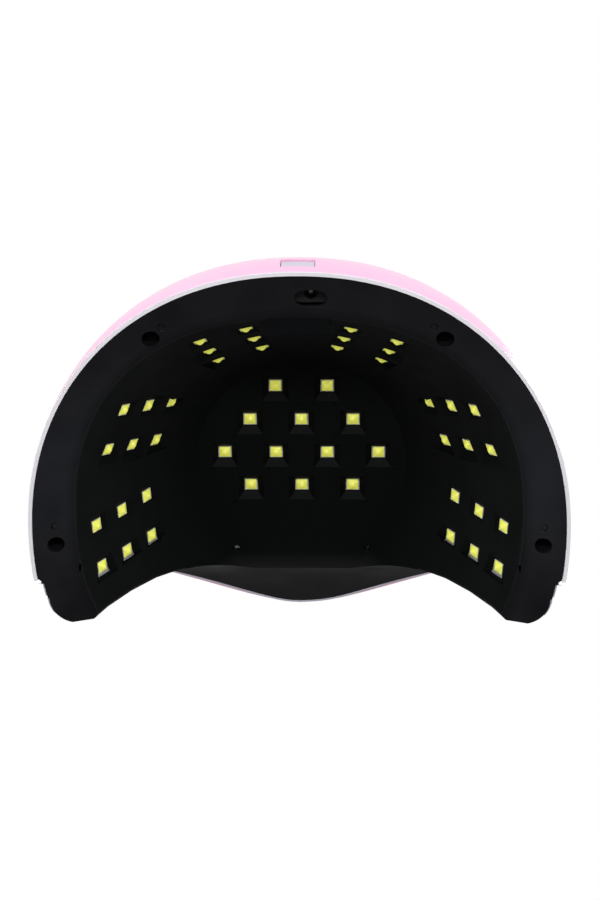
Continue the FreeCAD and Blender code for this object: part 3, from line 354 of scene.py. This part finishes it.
def board_green():
    """Solder mask with raised copper tracks under it and tinned spots."""
    shader = Shader("board_green", (0.012, 0.09, 0.03), 0.35, Coat_Weight=0.3)
    tracks = shader.node("TexBrick", Vector=shader.place, Scale=150.0, Mortar_Size=0.035)
    tracks.inputs["Color1"].default_value = (0.008, 0.075, 0.022, 1)
    tracks.inputs["Color2"].default_value = (0.010, 0.088, 0.028, 1)
    tracks.inputs["Mortar"].default_value = (0.03, 0.16, 0.05, 1)
    spots = shader.node("TexVoronoi", Vector=shader.place, Scale=260.0)
    tin = shader.remap(spots.outputs["Distance"], 0.10, 0.14, 1, 0)
    shader.set(shader.main, "Base Color", shader.mix_color(tin, tracks.outputs["Color"], (0.62, 0.6, 0.55)))
    shader.bump([(tracks.outputs["Fac"], 0.03), (tin, 0.05)], 0.1)
    return shader.material


def board_white():
    """White solder mask on aluminium, with faint tracks under it."""
    shader = Shader("board_white", (0.72, 0.72, 0.70), 0.4, Coat_Weight=0.2)
    tracks = shader.node("TexBrick", Vector=shader.place, Scale=110.0, Mortar_Size=0.03)
    tracks.inputs["Color1"].default_value = (0.70, 0.70, 0.68, 1)
    tracks.inputs["Color2"].default_value = (0.74, 0.74, 0.72, 1)
    tracks.inputs["Mortar"].default_value = (0.60, 0.60, 0.57, 1)
    shader.set(shader.main, "Base Color", tracks.outputs["Color"])
    shader.bump([(tracks.outputs["Fac"], 0.03)], 0.1)
    return shader.material


def led_white():
    """White ceramic of the LED packages."""
    shader = Shader("led_white", linear(226, 224, 214), 0.5, Subsurface_Weight=0.1,
                    Subsurface_Scale=0.5 * MM)
    shader.bump([(shader.noise(0.3, 2), 0.004)])
    return shader.material


def led_gold():
    """Gold plate of the solder pads."""
    shader = Shader("led_gold", (0.78, 0.53, 0.22), 0.3, Metallic=1.0)
    shader.bump([(shader.noise(0.2, 2), 0.004)])
    return shader.material


def led_phosphor():
    """Yellow silicone full of phosphor grains, with a painted glow that only the camera sees."""
    shader = Shader("led_phosphor", linear(214, 214, 84), 0.28, Subsurface_Weight=0.35,
                    Subsurface_Scale=0.8 * MM, Coat_Weight=0.5, Coat_Roughness=0.1)
    shader.set(shader.main, "Subsurface Radius", (1.0, 0.9, 0.2))
    grain = shader.noise(0.12, 2)
    tone = shader.mix_color(shader.remap(grain, 0.4, 0.6, 0, 1),
                            linear(206, 208, 76), linear(226, 228, 104))
    shader.set(shader.main, "Base Color", tone)
    shader.set(shader.main, "Emission Color", tone)
    # Painted glow: emission for camera rays only, it lights nothing.
    seen = shader.node("LightPath").outputs["Is Camera Ray"]
    shader.set(shader.main, "Emission Strength", shader.math("MULTIPLY", seen, 0.5))
    shader.bump([(grain, 0.006)])
    return shader.material


def black_epoxy():
    """Dull black moulding compound of chips and sockets."""
    shader = Shader("black_epoxy", (0.014, 0.014, 0.015), 0.55)
    shader.uneven_gloss(2, 0.45, 0.65)
    shader.bump([(shader.noise(0.12, 2), 0.008)], 0.15)
    return shader.material


def black_oxide_steel():
    """Blackened steel of the housing screws."""
    shader = Shader("black_oxide_steel", (0.006, 0.006, 0.007), 0.55, Specular_IOR_Level=0.2)
    shader.uneven_gloss(1.6, 0.45, 0.65)
    shader.bump([(shader.noise(0.25, 3), 0.008)], 0.12)
    return shader.material


def plated_steel():
    """Zinc plate with a fine grain and darker patches."""
    shader = Shader("plated_steel", (0.56, 0.56, 0.57), 0.3, Metallic=1.0)
    patches = shader.noise(1.6, 4)
    shader.set(shader.main, "Base Color", shader.mix_color(
        shader.remap(patches, 0.3, 0.7, 0, 1), (0.42, 0.42, 0.44), (0.66, 0.66, 0.66)))
    shader.set(shader.main, "Roughness", shader.remap(patches, 0.3, 0.7, 0.3, 0.42))
    shader.bump([(shader.noise(0.25, 3), 0.008)], 0.12)
    return shader.material


def bright_can():
    """Aluminium cans with a drawn surface."""
    shader = Shader("bright_can", (0.62, 0.63, 0.65), 0.28, Metallic=1.0)
    shader.bump([(shader.noise(0.4, 3), 0.006)], 0.2)
    return shader.material


def sensor_resin(name, color, clear):
    """Cast resin of the sensor bulbs, more or less clear."""
    shader = Shader(name, color, 0.08, Transmission_Weight=clear, IOR=1.5)
    shader.bump([(shader.noise(0.8, 2), 0.003)])
    return shader.material


def wire_cover(name, color):
    """Soft wire cover with slight waves."""
    shader = Shader(name, color, 0.42)
    shader.uneven_gloss(3, 0.34, 0.5)
    shader.bump([(shader.noise(1.2, 2), 0.02)])
    return shader.material


MATERIALS = {
    "pink_shell": pink_gloss,
    "white_trim": white_gloss,
    "pale_frame": pale_frame,
    "black_liner": black_liner,
    "smoked_panel": smoked_panel,
    "white_key": white_key,
    "grey_key": grey_key,
    "circuit_board": board_green,
    "white_board": board_white,
    "led_package": led_white,
    "led_lens": led_phosphor,
    "black_component": black_epoxy,
    "display_light": display_light,
    "metal": plated_steel,
    "dark_metal": black_oxide_steel,
    "can": bright_can,
    "sensor_dark": lambda: sensor_resin("sensor_dark", (0.02, 0.012, 0.03), 0.15),
    "sensor_clear": lambda: sensor_resin("sensor_clear", (0.8, 0.84, 0.92), 0.8),
    "wire_red": lambda: wire_cover("wire_red", (0.42, 0.015, 0.012)),
    "wire_white": lambda: wire_cover("wire_white", (0.68, 0.68, 0.66)),
}
READY = {slot: make() for slot, make in MATERIALS.items()}


# ---------------------------------------------------------------- LEDs


def loose_parts(node):
    """The separate solids of a CAD node, each as (points, face normals), in the mesh's own order."""
    work = bmesh.new()
    work.from_mesh(node.data)
    bmesh.ops.remove_doubles(work, verts=work.verts, dist=1e-6)
    work.normal_update()
    seen, parts = set(), []
    for start in work.verts:
        if start in seen:
            continue
        seen.add(start)
        found = [start]
        for vert in found:
            for edge in vert.link_edges:
                other = edge.other_vert(vert)
                if other not in seen:
                    seen.add(other)
                    found.append(other)
        faces = dict.fromkeys(face for vert in found for face in vert.link_faces)
        parts.append(([vert.co.copy() for vert in found], [face.normal.copy() for face in faces]))
    work.free()
    return parts


def led_frame(points, normals):
    """Frame of one LED block: origin at the middle of its face, Z out of it into the bowl."""
    centre = sum(points, Vector()) / len(points)

    def extent(direction):
        along = [point.dot(direction) for point in points]
        return max(along) - min(along)

    out = min(normals, key=extent)
    into_bowl = Vector((0, centre.y * 0.3, HIGH.z * 0.1)) - centre
    if out.dot(into_bowl) < 0:
        out = -out
    across = max(normals, key=lambda normal: (abs(normal.dot(out)) < 0.1, normal.z, normal.x))
    along = out.cross(across)
    place = Matrix((across, along, out)).transposed().to_4x4()
    place.translation = centre + out * extent(out) / 2
    return place, extent(across), extent(out)


def add_package(work, place, wide, tall):
    """Ceramic body with a sloped upper edge, a shallow rim and six gold pads."""
    half = wide / 2
    levels = ((half, -tall), (half, -tall * 0.42), (half * 0.975, -0.04 * MM), (half * 0.965, 0.0),
              (half * 0.945, 0.0), (half * 0.93, -tall * 0.12))
    rings = []
    for reach, height in levels:
        corner = [(1, 1), (-1, 1), (-1, -1), (1, -1)]
        rings.append([work.verts.new(place @ Vector((x * reach, y * reach, height))) for x, y in corner])
    for lower, upper in zip(rings, rings[1:]):
        for index in range(4):
            after = (index + 1) % 4
            work.faces.new((lower[index], lower[after], upper[after], upper[index]))
    work.faces.new(rings[0][::-1])
    work.faces.new(rings[-1])
    for side in (1, -1):
        for step in (-1, 0, 1):
            add_pad(work, place, step * wide * 0.3, side * half, wide * 0.09, tall)


def add_pad(work, place, x, y, half_wide, tall):
    """One solder pad on the edge of the package."""
    low, high = -tall, -tall * 0.66
    verts = [work.verts.new(place @ Vector((x + dx * half_wide, y + dy * PAD_DEPTH, z)))
             for z in (low, high) for dx, dy in ((-1, -1), (1, -1), (1, 1), (-1, 1))]
    quads = ((3, 2, 1, 0), (4, 5, 6, 7), (0, 1, 5, 4), (1, 2, 6, 5), (2, 3, 7, 6), (3, 0, 4, 7))
    for quad in quads:
        face = work.faces.new([verts[index] for index in quad])
        face.material_index = 1


def add_lens(work, place, wide, tall, steps=14):
    """Bell-shaped lens on a square foot, closed below."""
    half = wide / 2
    grid = []
    for row in range(steps + 1):
        line = []
        for column in range(steps + 1):
            u, v = 2 * column / steps - 1, 2 * row / steps - 1
            bell = (math.cos(math.pi * u / 2) * math.cos(math.pi * v / 2)) ** 1.15
            line.append(work.verts.new(place @ Vector((u * half, v * half, tall * max(bell, 0)))))
        grid.append(line)
    for row in range(steps):
        for column in range(steps):
            face = work.faces.new((grid[row][column], grid[row][column + 1],
                                   grid[row + 1][column + 1], grid[row + 1][column]))
            face.smooth = True
    border = (grid[0] + [line[-1] for line in grid[1:]] + grid[-1][-2::-1]
              + [line[0] for line in grid[-2:0:-1]])
    drop = place.to_3x3() @ Vector((0, 0, LENS_FOOT))
    foot = [work.verts.new(vert.co - drop) for vert in border]
    for index, vert in enumerate(border):
        after = (index + 1) % len(border)
        work.faces.new((border[after], vert, foot[index], foot[after]))
    work.faces.new(foot)


def finish_piece(name, work, materials, body):
    """Turns the worked mesh into an object that moves with its body."""
    mesh = bpy.data.meshes.new(name)
    work.to_mesh(mesh)
    work.free()
    for material in materials:
        mesh.materials.append(material)
    piece = bpy.data.objects.new(name, mesh)
    bpy.context.scene.collection.objects.link(piece)
    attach(piece, body)
    return piece


def make_leds():
    """Detailed packages and lenses in the place of every plain LED block."""
    gold = led_gold()
    for node_name in sorted(name for name in NODES if "_leds" in name):
        lens_name = node_name.replace("_leds", "_lenses")
        packages, lenses = bmesh.new(), bmesh.new()
        for points, normals in loose_parts(NODES[node_name]):
            place, wide, tall = led_frame(points, normals)
            add_package(packages, place, wide, tall)
            seat = place @ Matrix.Translation((0, 0, -LENS_SINK))
            add_lens(lenses, seat, wide * LENS_WIDTH_SHARE, wide * LENS_RISE_SHARE)
        body = NODES[node_name]["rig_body"]
        piece = finish_piece(node_name + "_detail", packages, [READY["led_package"], gold], body)
        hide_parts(node_name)
        piece = finish_piece(lens_name + "_detail", lenses, [READY["led_lens"]], body)
        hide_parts(lens_name)


# ---------------------------------------------------------------- key legends


def make_legends():
    """The number of seconds, printed on each timer key."""
    ink = key_print()
    for name in sorted(NODES):
        if not name.startswith("timer_button_"):
            continue
        low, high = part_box(name)
        curve = bpy.data.curves.new(name + "_number", "FONT")
        curve.body = name.rsplit("_", 1)[1]
        curve.size = (high.x - low.x) * 0.42
        curve.align_x = curve.align_y = "CENTER"
        curve.extrude = PRINT_HEIGHT
        curve.materials.append(ink)
        text = bpy.data.objects.new(name + "_number", curve)
        text.location = ((low.x + high.x) / 2, (low.y + high.y) / 2, high.z + PRINT_HEIGHT)
        bpy.context.scene.collection.objects.link(text)
        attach(text, NODES[name]["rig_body"])


# ---------------------------------------------------------------- stage


def make_stage():
    """Pale floor that the camera sees only from above."""
    bpy.ops.mesh.primitive_plane_add(size=12, location=(0, 0, LOW.z - 0.3 * MM))
    floor = bpy.context.object
    floor.name = "floor"
    shader = Shader("pale_floor", (0.86, 0.86, 0.87), 0.6)
    path = shader.node("LightPath")
    side = shader.node("NewGeometry")
    clear = shader.node("BsdfTransparent")
    shown = shader.math("MULTIPLY", path.outputs["Is Camera Ray"],
                        shader.math("SUBTRACT", 1.0, side.outputs["Backfacing"]))
    mix = shader.node("MixShader", Fac=shown)
    shader.tree.links.new(clear.outputs[0], mix.inputs[1])
    shader.tree.links.new(shader.main.outputs[0], mix.inputs[2])
    shader.tree.links.new(mix.outputs[0], shader.output.inputs["Surface"])
    floor.data.materials.append(shader.material)


def make_world():
    """White to the camera; for lighting, bright above and dim below."""
    world = bpy.data.worlds.new("studio")
    bpy.context.scene.world = world
    world.use_nodes = True
    tree = world.node_tree
    tree.nodes.clear()
    output = tree.nodes.new("ShaderNodeOutputWorld")
    place = tree.nodes.new("ShaderNodeTexCoord")
    split = tree.nodes.new("ShaderNodeSeparateXYZ")
    ramp = tree.nodes.new("ShaderNodeValToRGB")
    ramp.color_ramp.elements[0].position = 0.25
    ramp.color_ramp.elements[0].color = (0.10, 0.10, 0.105, 1)
    ramp.color_ramp.elements[1].position = 0.6
    ramp.color_ramp.elements[1].color = (0.95, 0.95, 0.96, 1)
    half = tree.nodes.new("ShaderNodeMapRange")
    half.inputs[1].default_value = -1
    light = tree.nodes.new("ShaderNodeBackground")
    plain = tree.nodes.new("ShaderNodeBackground")
    plain.inputs["Color"].default_value = (1, 1, 1, 1)
    path = tree.nodes.new("ShaderNodeLightPath")
    mix = tree.nodes.new("ShaderNodeMixShader")
    link = tree.links.new
    link(place.outputs["Generated"], split.inputs[0])
    link(split.outputs["Z"], half.inputs[0])
    link(half.outputs[0], ramp.inputs[0])
    link(ramp.outputs[0], light.inputs["Color"])
    link(path.outputs["Is Camera Ray"], mix.inputs[0])
    link(light.outputs[0], mix.inputs[1])
    link(plain.outputs[0], mix.inputs[2])
    link(mix.outputs[0], output.inputs[0])


def area_light(name, place, aim, power, width, tall):
    """A rectangular soft light at place, turned towards aim."""
    data = bpy.data.lights.new(name, "AREA")
    data.shape = "RECTANGLE"
    data.size, data.size_y = width, tall
    data.energy = power
    lamp = bpy.data.objects.new(name, data)
    lamp.location = place
    lamp.rotation_euler = (Vector(aim) - Vector(place)).to_track_quat("-Z", "Y").to_euler()
    bpy.context.scene.collection.objects.link(lamp)


def make_lights():
    for name, (place, aim, power, width, tall) in LIGHTS.items():
        area_light(name, place, aim, power, width, tall)


def make_camera():
    """Behind and below the lamp and a little to one side, looking up into the bowl."""
    forward = Vector((0, -math.sin(CAMERA_TILT), math.cos(CAMERA_TILT)))
    up = Vector((0, math.cos(CAMERA_TILT), math.sin(CAMERA_TILT)))
    axes = Matrix((forward.cross(up), up, -forward)).transposed()
    turn = Matrix.Rotation(CAMERA_YAW, 3, "Y") @ Matrix.Rotation(CAMERA_ROLL, 3, "Z")
    data = bpy.data.cameras.new("camera")
    data.lens = CAMERA_LENS
    data.sensor_width = CAMERA_SENSOR
    data.clip_start, data.clip_end = 0.01, 20
    camera = bpy.data.objects.new("camera", data)
    camera.matrix_world = Matrix.Translation(CAMERA_PLACE) @ (turn @ axes).to_4x4()
    bpy.context.scene.collection.objects.link(camera)
    bpy.context.scene.camera = camera


# ---------------------------------------------------------------- build


def paint_cad_nodes():
    """Gives every CAD piece the material of its slot, and the housing screws a black finish."""
    for entry in frame["record"]["subparts"]:
        slot = "dark_metal" if entry["node"] == "housing_screws" else entry["material_slot"]
        mesh = NODES[entry["node"]].data
        mesh.materials.clear()
        mesh.materials.append(READY[slot])


paint_cad_nodes()
make_leds()
make_legends()
make_stage()
make_world()
make_lights()
make_camera()
bpy.context.scene.view_settings.view_transform = "Standard"
